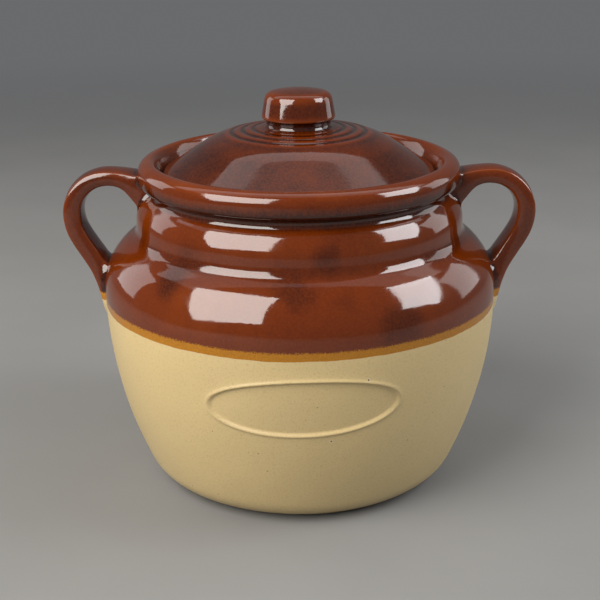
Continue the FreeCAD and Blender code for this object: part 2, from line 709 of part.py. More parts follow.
def make_handles(outside):
    """The two strap ears: one is lofted and cut to the pot's wall, the other mirrored."""
    strap = doc.addObject("PartDesign::Body", "strap")
    sections = [strap_section(strap, *place) for place in enumerate(STRAP_SECTIONS)]
    loft = strap.newObject("PartDesign::AdditiveLoft", "strap_loft")
    loft.Profile = sections[0]
    loft.Sections = sections[1:]
    doc.recompute()

    wall = doc.addObject("Part::Revolution", "wall_blank")
    wall.Source = outside.sketch
    wall.Axis = FreeCAD.Vector(0, 0, 1)
    wall.Solid = True

    right = doc.addObject("Part::Cut", "handle_right")
    right.Base = strap
    right.Tool = wall
    left = doc.addObject("Part::Mirroring", "handle_left")
    left.Source = right
    left.Normal = FreeCAD.Vector(1, 0, 0)
    doc.recompute()
    return right, left


def check_pieces(pieces):
    """Stops the build if a feature failed or a piece is not one closed solid."""
    for item in doc.Objects:
        if "Invalid" in item.State or "Error" in item.State:
            raise RuntimeError(item.Label + " did not compute")
    for piece in pieces:
        shape = piece.Shape
        if not shape.isValid() or len(shape.Solids) != 1 or shape.Volume <= 0:
            raise RuntimeError(piece.Label + " is not one closed solid")


def write_pieces(pieces):
    """Writes one STEP file for each piece, named by its label."""
    os.makedirs("parts", exist_ok=True)
    for piece in pieces:
        piece.Shape.exportStep("parts/%s.step" % piece.Label)
        print(piece.Label, round(piece.Shape.Volume), "mm3")


fill_sheet()
pot_body, pot_line = make_pot()
handle_right, handle_left = make_handles(pot_line)
lid = make_lid()
lid_knob = make_knob()
sub_parts = [pot_body, handle_right, handle_left, lid, lid_knob]
check_pieces(sub_parts)
write_pieces(sub_parts)
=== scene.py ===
import math
from functools import partial

import bpy
import numpy as np
from bpy.props import BoolProperty, FloatProperty, FloatVectorProperty, IntProperty, PointerProperty
from mathutils import Matrix, Vector


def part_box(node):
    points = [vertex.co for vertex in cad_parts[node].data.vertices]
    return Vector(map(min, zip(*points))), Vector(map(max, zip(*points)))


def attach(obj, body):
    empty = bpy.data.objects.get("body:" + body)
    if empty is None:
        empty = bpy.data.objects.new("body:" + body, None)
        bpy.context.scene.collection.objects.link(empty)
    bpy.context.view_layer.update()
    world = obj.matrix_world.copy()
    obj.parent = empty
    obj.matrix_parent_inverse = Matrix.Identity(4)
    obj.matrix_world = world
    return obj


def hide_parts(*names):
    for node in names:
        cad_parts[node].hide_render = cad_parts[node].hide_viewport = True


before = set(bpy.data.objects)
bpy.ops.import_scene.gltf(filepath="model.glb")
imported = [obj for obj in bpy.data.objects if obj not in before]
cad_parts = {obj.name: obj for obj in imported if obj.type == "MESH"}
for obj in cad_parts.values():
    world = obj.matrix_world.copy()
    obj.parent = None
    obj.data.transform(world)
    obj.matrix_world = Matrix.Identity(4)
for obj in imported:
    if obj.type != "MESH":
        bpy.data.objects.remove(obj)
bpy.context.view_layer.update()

bl_info = {
    "name": "Stoneware Bean Pot",
    "version": (1, 0, 0),
    "blender": (4, 5, 0),
    "location": "View3D > Sidebar > Bean Pot",
    "description": "Dresses the bean pot's frame with glazed stoneware pieces and a studio stage",
    "category": "Object",
}

# Metres, with the origin on the table under the pot's axis, +Z up, +X through the right ear
# and -Y towards the viewer. The turned outlines below are in the same frame, as pairs of
# radius and height.
MM = 0.001
POT_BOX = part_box("pot_body")
LID_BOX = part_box("lid")
KNOB_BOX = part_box("lid_knob")
EAR_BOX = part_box("handle_right")

# The photograph's view: its frame is 600 by 600 pixels.
PHOTO_SIZE = 600
FOCAL_PIXELS = 1223.6
CAMERA_PLACE = (0.0, -0.579, 0.2842)
CAMERA_DOWN = 0.3326
CAMERA_ROLL = -0.0082

# Marks that the firing left on the front: pinholes, and dark clouds with their reach.
PINHOLES = ((0.0293, -0.0906, 0.0786), (0.0133, -0.0896, 0.049))
IRON_CLOUDS = (
    ((-0.004, -0.083, 0.118), 0.013),
    ((0.045, -0.084, 0.1005), 0.015),
    ((0.012, -0.078, 0.131), 0.010),
)
GLAZE_IOR = 1.62
ROOM_COLOUR = (0.95, 0.97, 1, 1)
QUARTER = math.pi / 2


def length_setting(name, description, default):
    return FloatProperty(name=name, description=description, default=default, unit="LENGTH")


def count_setting(name, description, default):
    return IntProperty(name=name, description=description, default=default)


def colour_setting(name, description, default):
    return FloatVectorProperty(
        name=name, description=description, default=default, subtype="COLOR", size=3, min=0, max=1)


class PotSettings(bpy.types.PropertyGroup):
    """The turned pot."""

    belly_radius: length_setting("Belly radius", "Widest radius of the pot", POT_BOX[1][0])
    rim_height: length_setting("Rim height", "Height of the rim's crest", POT_BOX[1][2])
    wall: length_setting("Wall", "Thickness of the thrown wall", 6.2 * MM)
    columns: count_setting("Columns", "Steps round the pot, denser at the front", 360)
    rows: count_setting("Rows", "Steps along the outline", 268)
    oval_width: length_setting("Oval width", "Width of the bare oval, along the wall", 88.3 * MM)
    oval_height: length_setting("Oval height", "Height of the bare oval", 27.6 * MM)
    oval_middle: length_setting("Oval middle", "Height of the oval's middle", 66.0 * MM)
    oval_depth: length_setting("Oval depth", "How far the oval's ground lies below its lip", 0.65 * MM)


class EarSettings(bpy.types.PropertyGroup):
    """The two strap ears."""

    reach: length_setting("Reach", "Outermost point of an ear from the axis", EAR_BOX[1][0])
    rounding: length_setting("Edge rounding", "Rounding of the strap's edges", 3.4 * MM)
    fillet: length_setting("Fillet", "Clay and glaze smoothed into the joint with the wall", 2.6 * MM)
    steps_along: count_setting("Steps along", "Steps along the strap", 190)
    steps_around: count_setting("Steps around", "Steps round the strap", 96)


class LidSettings(bpy.types.PropertyGroup):
    """The loose lid and its knob."""

    radius: length_setting("Lid radius", "Outside of the lid", LID_BOX[1][0])
    knob_radius: length_setting("Knob radius", "Widest radius of the knob", KNOB_BOX[1][0])
    rings: count_setting("Rings", "Turned rings on the crown", 3)
    columns: count_setting("Columns", "Steps round the lid", 320)
    rows: count_setting("Rows", "Steps along the lid's outline", 200)
    knob_rows: count_setting("Knob rows", "Steps along the knob's outline", 120)


class GlazeSettings(bpy.types.PropertyGroup):
    """The colours of glaze and clay."""

    brown: colour_setting("Brown glaze", "The iron glaze at its usual thickness", (0.098, 0.0145, 0.0008))
    thin: colour_setting("Thin glaze", "The glaze where it breaks over an edge", (0.190, 0.036, 0.0015))
    pooled: colour_setting("Pooled glaze", "The glaze where it runs together", (0.012, 0.0012, 0.0007))
    mustard: colour_setting("Mustard band", "The glaze's runny lower edge", (0.37, 0.150, 0.002))
    cream: colour_setting("Cream glaze", "The lower glaze over buff clay", (0.56, 0.425, 0.205))
    clay: colour_setting("Bare clay", "The unglazed foot ring", (0.44, 0.33, 0.21))
    dip_height: length_setting("Dip height", "Where the brown glaze ends on the wall", 93.1 * MM)
    band_width: length_setting("Band width", "Width of the mustard band", 3.7 * MM)


class StageSettings(bpy.types.PropertyGroup):
    """Floor, lights and world."""

    floor_colour: colour_setting("Floor", "Colour of the floor", (0.21, 0.208, 0.203))
    softbox: FloatProperty(name="Softbox", description="Radiance of the tall softboxes", default=8.0)
    room: FloatProperty(name="Room", description="Radiance of the room", default=0.12)
    backdrop: FloatProperty(
        name="Backdrop", description="Grey of the room and far floor, as seen and mirrored", default=0.15,
    )
    from_photo: BoolProperty(
        name="Photograph's view", description="Put the camera where the photograph was taken", default=True,
    )


class BeanPotSettings(bpy.types.PropertyGroup):
    """All settings of the bean pot."""

    pot: PointerProperty(type=PotSettings)
    ear: PointerProperty(type=EarSettings)
    lid: PointerProperty(type=LidSettings)
    glaze: PointerProperty(type=GlazeSettings)
    stage: PointerProperty(type=StageSettings)


def arc(centre, radius, start, end):
    """Points on an arc, from one angle to another in radians."""
    step = 0.4 * MM
    count = max(3, int(abs(end - start) * radius / step))
    angle = np.linspace(start, end, count)
    return np.column_stack((centre[0] + radius * np.cos(angle), centre[1] + radius * np.sin(angle)))


def angle_of(centre, end):
    return math.atan2(end[1] - centre[1], end[0] - centre[0])


def beside(centre, across, distance):
    """The point above a centre, at a distance from it and at a radius from the axis."""
    return across, centre[1] + math.sqrt(distance ** 2 - (across - centre[0]) ** 2)


def crossing(first, first_radius, second, second_radius, side):
    """A crossing of two circles, on the left (+1) or right (-1) of the way between them."""
    way = np.subtract(second, first)
    reach = np.hypot(*way)
    along = (reach ** 2 + first_radius ** 2 - second_radius ** 2) / (2 * reach)
    across = side * math.sqrt(first_radius ** 2 - along ** 2)
    unit = way / reach
    return tuple(first + unit * along + np.array((-unit[1], unit[0])) * across)


def inner_tangent_centre(start, out, radius, outer_centre, outer_radius):
    """The centre of an arc that leaves a slope at start and runs into a wide circle."""
    inside = np.subtract(start, np.multiply(out, radius)) - outer_centre
    along = np.array((-out[1], out[0]))
    half = inside @ along
    run = -half + math.sqrt(half ** 2 - inside @ inside + (outer_radius - radius) ** 2)
    return tuple(np.add(outer_centre, inside + along * run))


def bell(step, width):
    """The weights of a bell curve on even steps, with its middle in the middle."""
    reach = int(3 * width / step)
    weight = np.exp(-0.5 * (np.arange(-reach, reach + 1) * step / width) ** 2)
    return weight / weight.sum()


def softened(parts, step=0.25 * MM, softness=0.45 * MM):
    """One outline of even steps, with its corners rounded as glaze rounds them.

    The first and last points keep their place, as they close the form on its axis.
    """
    line = np.vstack(parts)
    keep = np.append(True, np.hypot(*np.diff(line, axis=0).T) > 1e-7)
    line = line[keep]
    length = np.append(0, np.cumsum(np.hypot(*np.diff(line, axis=0).T)))
    even = np.linspace(0, length[-1], int(length[-1] / step))
    line = np.column_stack([np.interp(even, length, line[:, axis]) for axis in (0, 1)])
    weight = bell(step, softness)
    reach = len(weight) // 2
    padded = np.pad(line, ((reach, reach), (0, 0)), mode="edge")
    padded[:reach] = 2 * line[0] - line[reach:0:-1]
    padded[-reach:] = 2 * line[-1] - line[-2:-reach - 2:-1]
    smooth = np.column_stack([np.convolve(padded[:, axis], weight, "valid") for axis in (0, 1)])
    smooth[0], smooth[-1] = line[0], line[-1]
    return smooth


def bending(line, span):
    """How strongly an outline bends at each point: above 0 over an edge, below 0 in a hollow."""
    step = np.hypot(*np.diff(line, axis=0).T).mean()
    heading = np.unwrap(np.arctan2(*np.gradient(line, axis=0).T[::-1]))
    bend = np.gradient(heading) / step
    weight = bell(step, span)
    return np.convolve(np.pad(bend, len(weight) // 2, mode="edge"), weight, "valid")


def chosen(line, rows, rough=0.35, weight=1.0):
    """A number of an outline's points, closer together where it bends or carries weight."""
    bend = np.abs(bending(line, 0.5 * MM))
    weight = np.broadcast_to(weight, len(line))[1:]
    step = np.hypot(*np.diff(line, axis=0).T)
    cost = step * weight * (rough / MM + np.sqrt((bend[1:] + bend[:-1]) / 2 / MM))
    total = np.append(0, np.cumsum(cost))
    index = np.arange(len(line))
    places = np.interp(np.linspace(0, total[-1], rows), total, index)
    return np.column_stack([np.interp(places, index, line[:, axis]) for axis in (0, 1)])


class PotForm:
    """The pot's outline: circles, and the points where they meet."""

    def __init__(self, settings):
        self.belly_height = 95.9 * MM
        self.belly = settings.belly_radius
        self.wall = settings.wall
        self.wall_arc = 213.5 * MM
        self.shoulder_arc = 28.7 * MM
        self.cove_arc = 6.5 * MM
        self.neck = 79.1 * MM
        self.crest = (70.5 * MM, settings.rim_height)
        self.wall_centre = (self.belly - self.wall_arc, self.belly_height)
        self.shoulder = (self.belly - self.shoulder_arc, self.belly_height)
        self.cove = beside(self.shoulder, self.neck + self.cove_arc, self.shoulder_arc + self.cove_arc)
        self.cove_turn = angle_of(self.shoulder, self.cove)

    def corner_on_wall(self, thick, radius, height):
        """The centre of a bottom corner that runs into the long curve of the wall."""
        reach = self.wall_arc - thick - radius
        drop = self.belly_height - height
        return self.wall_centre[0] + math.sqrt(reach ** 2 - drop ** 2), height

    def outside(self):
        """From the middle of the underside over foot, belly, neck and rim to the crest."""
        recess, recess_depth = 55 * MM, 1.6 * MM
        foot_corner = 18.8 * MM
        foot = self.corner_on_wall(0, foot_corner, foot_corner)
        collar_arc = 14.5 * MM
        collar = (self.neck - collar_arc, 128.8 * MM)
        groove, groove_round = (74.9 * MM, 142.8 * MM), 3.0 * MM
        collar_top = crossing(collar, collar_arc, groove, groove_round, 1)
        rim, edge_round, corner_round, roll = 77.4 * MM, 2.4 * MM, 4.8 * MM, 9 * MM
        edge = beside(groove, rim - edge_round, groove_round + edge_round)
        roll_centre = (self.crest[0], self.crest[1] - roll)
        corner = beside(roll_centre, rim - corner_round, roll - corner_round)
        foot_turn = angle_of(self.wall_centre, foot)
        corner_turn = angle_of(roll_centre, corner)
        return [
            np.array([(0, recess_depth), (recess - 1.2 * MM, recess_depth), (recess, 0)]),
            arc(foot, foot_corner, -QUARTER, foot_turn),
            arc(self.wall_centre, self.wall_arc, foot_turn, 0),
            arc(self.shoulder, self.shoulder_arc, 0, self.cove_turn),
            arc(self.cove, self.cove_arc, self.cove_turn + math.pi, math.pi),
            arc(collar, collar_arc, 0, angle_of(collar, collar_top)),
            arc(groove, groove_round, angle_of(groove, collar_top) % (2 * math.pi), angle_of(groove, edge)),
            arc(edge, edge_round, angle_of(groove, edge) - math.pi, 0),
            arc(corner, corner_round, 0, corner_turn),
            arc(roll_centre, roll, corner_turn, QUARTER),
        ]

    def inside(self):
        """From the crest down the gallery, over the ledge and through the mouth to the floor."""
        lip = 1.4 * MM
        lip_centre = (self.crest[0], self.crest[1] - lip)
        gallery = (66.6 * MM, 147.7 * MM)
        way = np.subtract(lip_centre, gallery)
        lip_turn = math.atan2(way[1], way[0]) + math.asin(lip / np.hypot(*way)) + QUARTER
        mouth, mouth_round, mouth_low = 60 * MM, 1.2 * MM, 143 * MM
        edge = (mouth + mouth_round, gallery[1] - mouth_round)
        vault_end = (self.cove[0] - self.cove_arc - self.wall, self.cove[1])
        inset, rise = vault_end[0] - mouth, mouth_low - vault_end[1]
        vault = (inset ** 2 + rise ** 2) / (2 * inset)
        vault_centre = (vault_end[0] - vault, vault_end[1])
        floor, floor_corner = 7.8 * MM, 17 * MM
        corner = self.corner_on_wall(self.wall, floor_corner, floor + floor_corner)
        corner_turn = angle_of(self.wall_centre, corner)
        return [
            arc(lip_centre, lip, QUARTER, lip_turn),
            np.array([gallery]),
            arc(edge, mouth_round, QUARTER, math.pi),
            arc(vault_centre, vault, angle_of(vault_centre, (mouth, mouth_low)), 0),
            arc(self.cove, self.cove_arc + self.wall, math.pi, math.pi + self.cove_turn),
            arc(self.shoulder, self.shoulder_arc - self.wall, self.cove_turn, 0),
            arc(self.wall_centre, self.wall_arc - self.wall, 0, corner_turn),
            arc(corner, floor_corner, corner_turn, -QUARTER),
            np.array([(0, floor)]),
        ]


def lid_outline(settings):
    """The lid from the hollow under its crown, round its edge, to the middle of the crown."""
    slope = math.radians(33)
    out = (math.sin(slope), math.cos(slope))
    bottom, shoulder, edge_round, under_round = 148 * MM, 150.8 * MM, 1.9 * MM, 1.2 * MM
    dome, crown, thick = 42 * MM, 175 * MM, 5.6 * MM
    seat = (17.4 * MM, 171.9 * MM)
    crown_centre = (0.0, seat[1] - math.sqrt(crown ** 2 - seat[0] ** 2))
    edge = (settings.radius - edge_round, shoulder)
    cone = np.add(edge, np.multiply(out, edge_round))
    dome_centre = inner_tangent_centre(cone, out, dome, crown_centre, crown)
    bearing = (60.6 * MM, bottom)
    hollow_centre = inner_tangent_centre(bearing, out, dome - thick, crown_centre, crown - thick)
    cone_turn = math.atan2(out[1], out[0])
    under = (settings.radius - under_round, bottom + under_round)
    dome_turn = angle_of(crown_centre, dome_centre)
    return [
        arc(crown_centre, crown - thick, QUARTER, angle_of(crown_centre, hollow_centre)),
        arc(hollow_centre, dome - thick, angle_of(crown_centre, hollow_centre), cone_turn),
        np.array([bearing]),
        arc(under, under_round, -QUARTER, 0),
        arc(edge, edge_round, 0, cone_turn),
        arc(dome_centre, dome, cone_turn, dome_turn),
        arc(crown_centre, crown, dome_turn, QUARTER),
    ]


def ring_the_crown(line, rings):
    """Sinks the turned rings into the crown, as soft waves."""
    first, pitch = 21.4 * MM, 5.2 * MM
    depth, groove_width = 0.34 * MM, 1.05 * MM
    rise, swell_width = 0.16 * MM, 1.5 * MM
    crown_foot = 164 * MM
    crown = (line[:, 1] > crown_foot) & (np.arange(len(line)) > len(line) // 2)
    for ring in range(rings):
        groove = (line[:, 0] - first - ring * pitch) / groove_width
        swell = (line[:, 0] - first - (ring + 0.5) * pitch) / swell_width
        wave = rise * np.exp(-swell ** 2) - depth * np.exp(-groove ** 2)
        line[:, 1] += np.where(crown, wave, 0)
    return line


def knob_outline(settings):
    """The knob from its foot on the crown to the middle of its top."""
    seat, neck, neck_height, cove = 171.2 * MM, 15.3 * MM, 174 * MM, 2.4 * MM
    wide, wide_height, lip = settings.knob_radius, 177.1 * MM, 0.9 * MM
    shoulder, top_arc, top = 4.2 * MM, 62 * MM, KNOB_BOX[1][2] + 0.5 * MM
    lean = math.radians(10)
    out = (math.cos(lean), math.sin(lean))
    cove_centre = (neck + cove, neck_height)
    lip_centre = tuple(np.subtract((wide, wide_height), np.multiply(out, lip)))
    meet = crossing(cove_centre, cove, lip_centre, lip, 1)
    top_centre = (0.0, top - top_arc)
    shoulder_centre = inner_tangent_centre((wide, wide_height), out, shoulder, top_centre, top_arc)
    foot = (cove_centre[0] - 0.4 * MM, seat)
    top_turn = angle_of(top_centre, shoulder_centre)
    return [
        np.array([(0, seat), foot]),
        arc(cove_centre, cove, math.radians(235), math.pi),
        arc(cove_centre, cove, math.pi, angle_of(cove_centre, meet) % (2 * math.pi)),
        arc(lip_centre, lip, angle_of(lip_centre, meet), lean),
        arc(shoulder_centre, shoulder, lean, top_turn),
        arc(top_centre, top_arc, top_turn, QUARTER),
    ]


def add_node(tree, kind, inputs=None, **settings):
    """A node of a kind with its settings made, and its inputs given values or linked to sockets."""
    node = tree.nodes.new(kind)
    for key, value in settings.items():
        setattr(node, key, value)
    for key, value in (inputs or {}).items():
        if isinstance(value, bpy.types.NodeSocket):
            tree.links.new(value, node.inputs[key])
        else:
            node.inputs[key].default_value = value
    return node


def calculate(tree, operation, *terms):
    """A Math node whose terms are numbers or sockets."""
    return add_node(tree, "ShaderNodeMath", dict(enumerate(terms)), operation=operation).outputs[0]


def turning_tree():
    """Turns an outline about the Z axis into a closed form.

    The outline is a chain of points in the XZ plane, which carry how thick the glaze lies.
    The columns can crowd towards the front, and the thrower's hand leaves the form a little
    out of round.
    """
    tree = bpy.data.node_groups.new("Turned form", "GeometryNodeTree")
    kinds = {
        "Outline": "Geometry", "Columns": "Int", "Rows": "Int", "Front crowding": "Float",
        "Unevenness": "Float", "Waviness": "Float", "Seed": "Float", "Glaze": "Material",
    }
    for name, kind in kinds.items():
        tree.interface.new_socket(name, in_out="INPUT", socket_type="NodeSocket" + kind)
    tree.interface.new_socket("Form", in_out="OUTPUT", socket_type="NodeSocketGeometry")
    add = partial(add_node, tree)
    maths = partial(calculate, tree)
    given = add("NodeGroupInput").outputs

    columns = maths("ADD", given["Columns"], 1)
    grid = add("GeometryNodeMeshGrid", {
        "Size X": 1, "Size Y": 1, "Vertices X": columns, "Vertices Y": given["Rows"]})
    place = add("GeometryNodeInputPosition").outputs[0]
    split = add("ShaderNodeSeparateXYZ", {0: place}).outputs
    last_row = maths("SUBTRACT", given["Rows"], 1)
    row = maths("ROUND", maths("MULTIPLY", maths("ADD", split["Y"], 0.5), last_row))
    even = maths("MULTIPLY", split["X"], 2 * math.pi)
    turn = maths("SUBTRACT", even, maths("MULTIPLY", maths("SINE", even), given["Front crowding"]))

    def at_row(value, kind):
        inputs = {"Geometry": given["Outline"], "Value": value, "Index": row}
        return add("GeometryNodeSampleIndex", inputs, data_type=kind, domain="POINT").outputs[0]

    noted = add("GeometryNodeInputNamedAttribute", {"Name": "glaze"}, data_type="FLOAT")
    glaze = at_row(noted.outputs["Attribute"], "FLOAT")
    reach = add("ShaderNodeSeparateXYZ", {0: at_row(place, "FLOAT_VECTOR")}).outputs
    across = maths("MULTIPLY", reach["X"], maths("SINE", turn))
    toward = maths("MULTIPLY", reach["X"], maths("COSINE", turn))
    landed = add("ShaderNodeCombineXYZ", {
        "X": across, "Y": maths("MULTIPLY", toward, -1), "Z": reach["Z"]}).outputs[0]

    # The noise is read where the point lands, so the first and last columns agree. Near the
    # axis the form stays as it is, so that the poles close flat.
    waves_per_metre, calm_radius = 30, 12 * MM
    wave_scale = maths("MULTIPLY", given["Waviness"], waves_per_metre)
    wave = add("ShaderNodeTexNoise", {
        "Vector": landed, "Scale": wave_scale, "W": given["Seed"], "Detail": 1.0,
    }, noise_dimensions="4D").outputs["Fac"]
    fade = maths("MINIMUM", maths("DIVIDE", reach["X"], calm_radius), 1)
    swell = maths("MULTIPLY", maths("SUBTRACT", wave, 0.5), given["Unevenness"])
    flat = add("ShaderNodeVectorMath", {0: landed, 1: (1, 1, 0)}, operation="MULTIPLY")
    outward = add("ShaderNodeVectorMath", {0: flat.outputs[0]}, operation="NORMALIZE")
    shift = add("ShaderNodeVectorMath", {
        0: outward.outputs[0], "Scale": maths("MULTIPLY", swell, fade)}, operation="SCALE")
    final = add("ShaderNodeVectorMath", {0: landed, 1: shift.outputs[0]}, operation="ADD")

    # The glaze is noted on the grid before its points move.
    noted = add("GeometryNodeStoreNamedAttribute", {
        "Geometry": grid.outputs["Mesh"], "Name": "glaze", "Value": glaze,
    }, data_type="FLOAT", domain="POINT")
    form = noted.outputs[0]
    for kind, inputs in (
        ("GeometryNodeSetPosition", {"Position": final.outputs[0]}),
        ("GeometryNodeMergeByDistance", {"Distance": 0.002 * MM}),
        ("GeometryNodeSetShadeSmooth", {}),
        ("GeometryNodeRealizeInstances", {}),
        ("GeometryNodeSetMaterial", {"Material": given["Glaze"]}),
    ):
        form = add(kind, {"Geometry": form, **inputs}).outputs[0]
    add("NodeGroupOutput", {"Form": form})
    return tree


def note(mesh, name, values):
    """Writes a number on each point of a mesh."""
    mesh.attributes.new(name, "FLOAT", "POINT").data.foreach_set("value", values)


def placed(name, data):
    """A new object in the scene."""
    item = bpy.data.objects.new(name, data)
    bpy.context.collection.objects.link(item)
    return item


def turned(name, line, amount, material, columns, crowding=0.0, unevenness=0.0, waviness=1.0, seed=0.0):
    """A form turned from an outline, as a plain mesh with its faces outwards."""
    mesh = bpy.data.meshes.new(name + " outline")
    points = np.column_stack((line[:, 0], np.zeros(len(line)), line[:, 1]))
    mesh.from_pydata(points.tolist(), [(i, i + 1) for i in range(len(line) - 1)], [])
    note(mesh, "glaze", amount)
    outline = placed(name + " outline", mesh)
    tree = bpy.data.node_groups.get("Turned form") or turning_tree()
    modifier = outline.modifiers.new("Turning", "NODES")
    modifier.node_group = tree
    inputs = {
        "Columns": columns, "Rows": len(line), "Front crowding": crowding,
        "Unevenness": unevenness, "Waviness": waviness, "Seed": seed, "Glaze": material,
    }
    for item in tree.interface.items_tree:
        if item.name in inputs:
            modifier[item.identifier] = inputs[item.name]
    evaluated = outline.evaluated_get(bpy.context.evaluated_depsgraph_get())
    form = bpy.data.meshes.new_from_object(evaluated)
    outline.modifiers.remove(modifier)
    bpy.data.objects.remove(outline)
    bpy.data.meshes.remove(mesh)
    form.name = name
    face_outwards(form)
    return placed(name, form)


def vectors(items, name):
    """A vector of each item of a mesh, as rows."""
    flat = np.empty(len(items) * 3)
    items.foreach_get(name, flat)
    return flat.reshape(-1, 3)


def points_and_normals(mesh):
    return vectors(mesh.vertices, "co"), vectors(mesh.vertex_normals, "vector")


def put_points(mesh, points):
    mesh.vertices.foreach_set("co", np.ascontiguousarray(points, dtype=float).ravel())
    mesh.update()


def face_outwards(mesh):
    """Flips a closed mesh whose faces point in."""
    mesh.calc_loop_triangles()
    corners = np.empty(len(mesh.loop_triangles) * 3, dtype=int)
    mesh.loop_triangles.foreach_get("vertices", corners)
    a, b, c = vectors(mesh.vertices, "co")[corners.reshape(-1, 3)].transpose(1, 0, 2)
    if np.einsum("ij,ij->", a, np.cross(b, c)) < 0:
        mesh.flip_normals()


def declare(piece, body, slot, *nodes):
    """Names what a finished piece rides on and stands for. The slot it is finished as is not used."""
    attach(piece, body)
    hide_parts(*nodes)


def glaze_over(line, span, drained=0.0):
    """How the glaze lies on an outline: 1 breaks over an edge, 0.5 lies even, 0 pools."""
    contrast = 6
    bend = bending(line, span) * MM * contrast
    return np.clip(0.5 + 0.5 * np.tanh(bend) - drained, 0, 1)


class Finish:
    """A node-based material on the object's own coordinates."""

    def __init__(self, name):
        self.material = bpy.data.materials.new(name)
        self.material.use_nodes = True
        self.tree = self.material.node_tree
        self.surface = self.tree.nodes["Principled BSDF"]
        self.place = self.add("ShaderNodeTexCoord").outputs["Object"]

    def add(self, kind, inputs=None, **settings):
        return add_node(self.tree, kind, inputs, **settings)

    def maths(self, operation, *terms):
        return calculate(self.tree, operation, *terms)

    def noise(self, scale, detail, roughness, seed, stretch=None):
        place = self.place
        if stretch is not None:
            place = self.add("ShaderNodeMapping", {"Vector": place, "Scale": stretch}).outputs[0]
        inputs = {"Vector": place, "Scale": scale, "Detail": detail, "Roughness": roughness, "W": seed}
        return self.add("ShaderNodeTexNoise", inputs, noise_dimensions="4D").outputs["Fac"]

    def spots(self, scale):
        """The distance to the nearest of many scattered points."""
        return self.add("ShaderNodeTexVoronoi", {"Vector": self.place, "Scale": scale}).outputs["Distance"]

    def between(self, value, low, high, to_low=0.0, to_high=1.0):
        """A value's place between two limits, eased at both ends."""
        limits = {"Value": value, "From Min": low, "From Max": high, "To Min": to_low, "To Max": to_high}
        return self.add("ShaderNodeMapRange", limits, interpolation_type="SMOOTHSTEP").outputs["Result"]

    def blend(self, share, *colours):
        """Two colours mixed by a share. A colour is a socket or three numbers."""
        first, second = (
            colour if isinstance(colour, bpy.types.NodeSocket) else (*colour, 1) for colour in colours)
        return self.add("ShaderNodeMix", {0: share, 6: first, 7: second}, data_type="RGBA").outputs[2]

    def attribute(self, name):
        return self.add("ShaderNodeAttribute", attribute_name=name).outputs["Fac"]

    def distance_from(self, point):
        node = self.add("ShaderNodeVectorMath", {0: self.place, 1: point}, operation="DISTANCE")
        return node.outputs["Value"]

    def bump(self, height, distance, strength, **under):
        inputs = {"Height": height, "Distance": distance, "Strength": strength, **under}
        return self.add("ShaderNodeBump", inputs).outputs["Normal"]

    def link(self, source, target):
        self.tree.links.new(source, self.surface.inputs[target])


def brown_glaze_colour(finish, glaze):
    """The iron glaze: dark where it pools, orange where it breaks, mottled and specked."""
    drift = finish.noise(24, 4, 0.55, seed=1.3)
    streak = finish.noise(95, 3, 0.6, seed=4.1, stretch=(1, 1, 0.25))
    amount = finish.maths("ADD", finish.attribute("glaze"), finish.between(drift, 0.25, 0.75, -0.10, 0.10))
    amount = finish.maths("ADD", amount, finish.between(streak, 0.3, 0.7, -0.04, 0.04))
    colour = finish.blend(finish.between(amount, 0.52, 0.98), glaze.brown, glaze.thin)
    colour = finish.blend(finish.between(amount, 0.45, -0.05), colour, glaze.pooled)
    # Iron gathers in a few dark clouds.
    cloud = finish.noise(15, 2, 0.5, seed=7.7)
    colour = finish.blend(finish.between(cloud, 0.64, 0.74, 0, 0.8), colour, glaze.pooled)
    ragged = finish.between(finish.noise(60, 3, 0.6, seed=18.2), 0.2, 0.8, -5 * MM, 5 * MM)
    for place, reach in IRON_CLOUDS:
        away = finish.maths("ADD", finish.distance_from(place), ragged)
        share = finish.between(away, reach, 0.25 * reach, 0, 0.55)
        colour = finish.blend(share, colour, glaze.pooled)
    # Fine bubbles and crystals give a salt-and-pepper grain.
    grain = finish.noise(900, 2, 0.7, seed=2.2)
    return finish.blend(finish.between(grain, 0.35, 0.7, 0.0, 0.22), colour, glaze.thin)


def glaze_sheen(finish):
    """The glaze's roughness, which drifts a little."""
    return finish.between(finish.noise(60, 2, 0.5, seed=5.0), 0.3, 0.7, 0.05, 0.11)


def glaze_relief(finish):
    """The glaze's slow waves and its fine orange peel."""
    wave = finish.noise(75, 2, 0.45, seed=9.1, stretch=(1, 1, 1.6))
    peel = finish.noise(420, 2, 0.5, seed=3.4)
    return finish.bump(peel, 0.05 * MM, 0.35, Normal=finish.bump(wave, 0.30 * MM, 0.35))


def lid_material(glaze):
    """Brown glaze all over, for the lid and the knob."""
    finish = Finish("Brown glaze")
    finish.link(brown_glaze_colour(finish, glaze), "Base Color")
    finish.link(glaze_sheen(finish), "Roughness")
    finish.link(glaze_relief(finish), "Normal")
    finish.surface.inputs["IOR"].default_value = GLAZE_IOR
    return finish.material


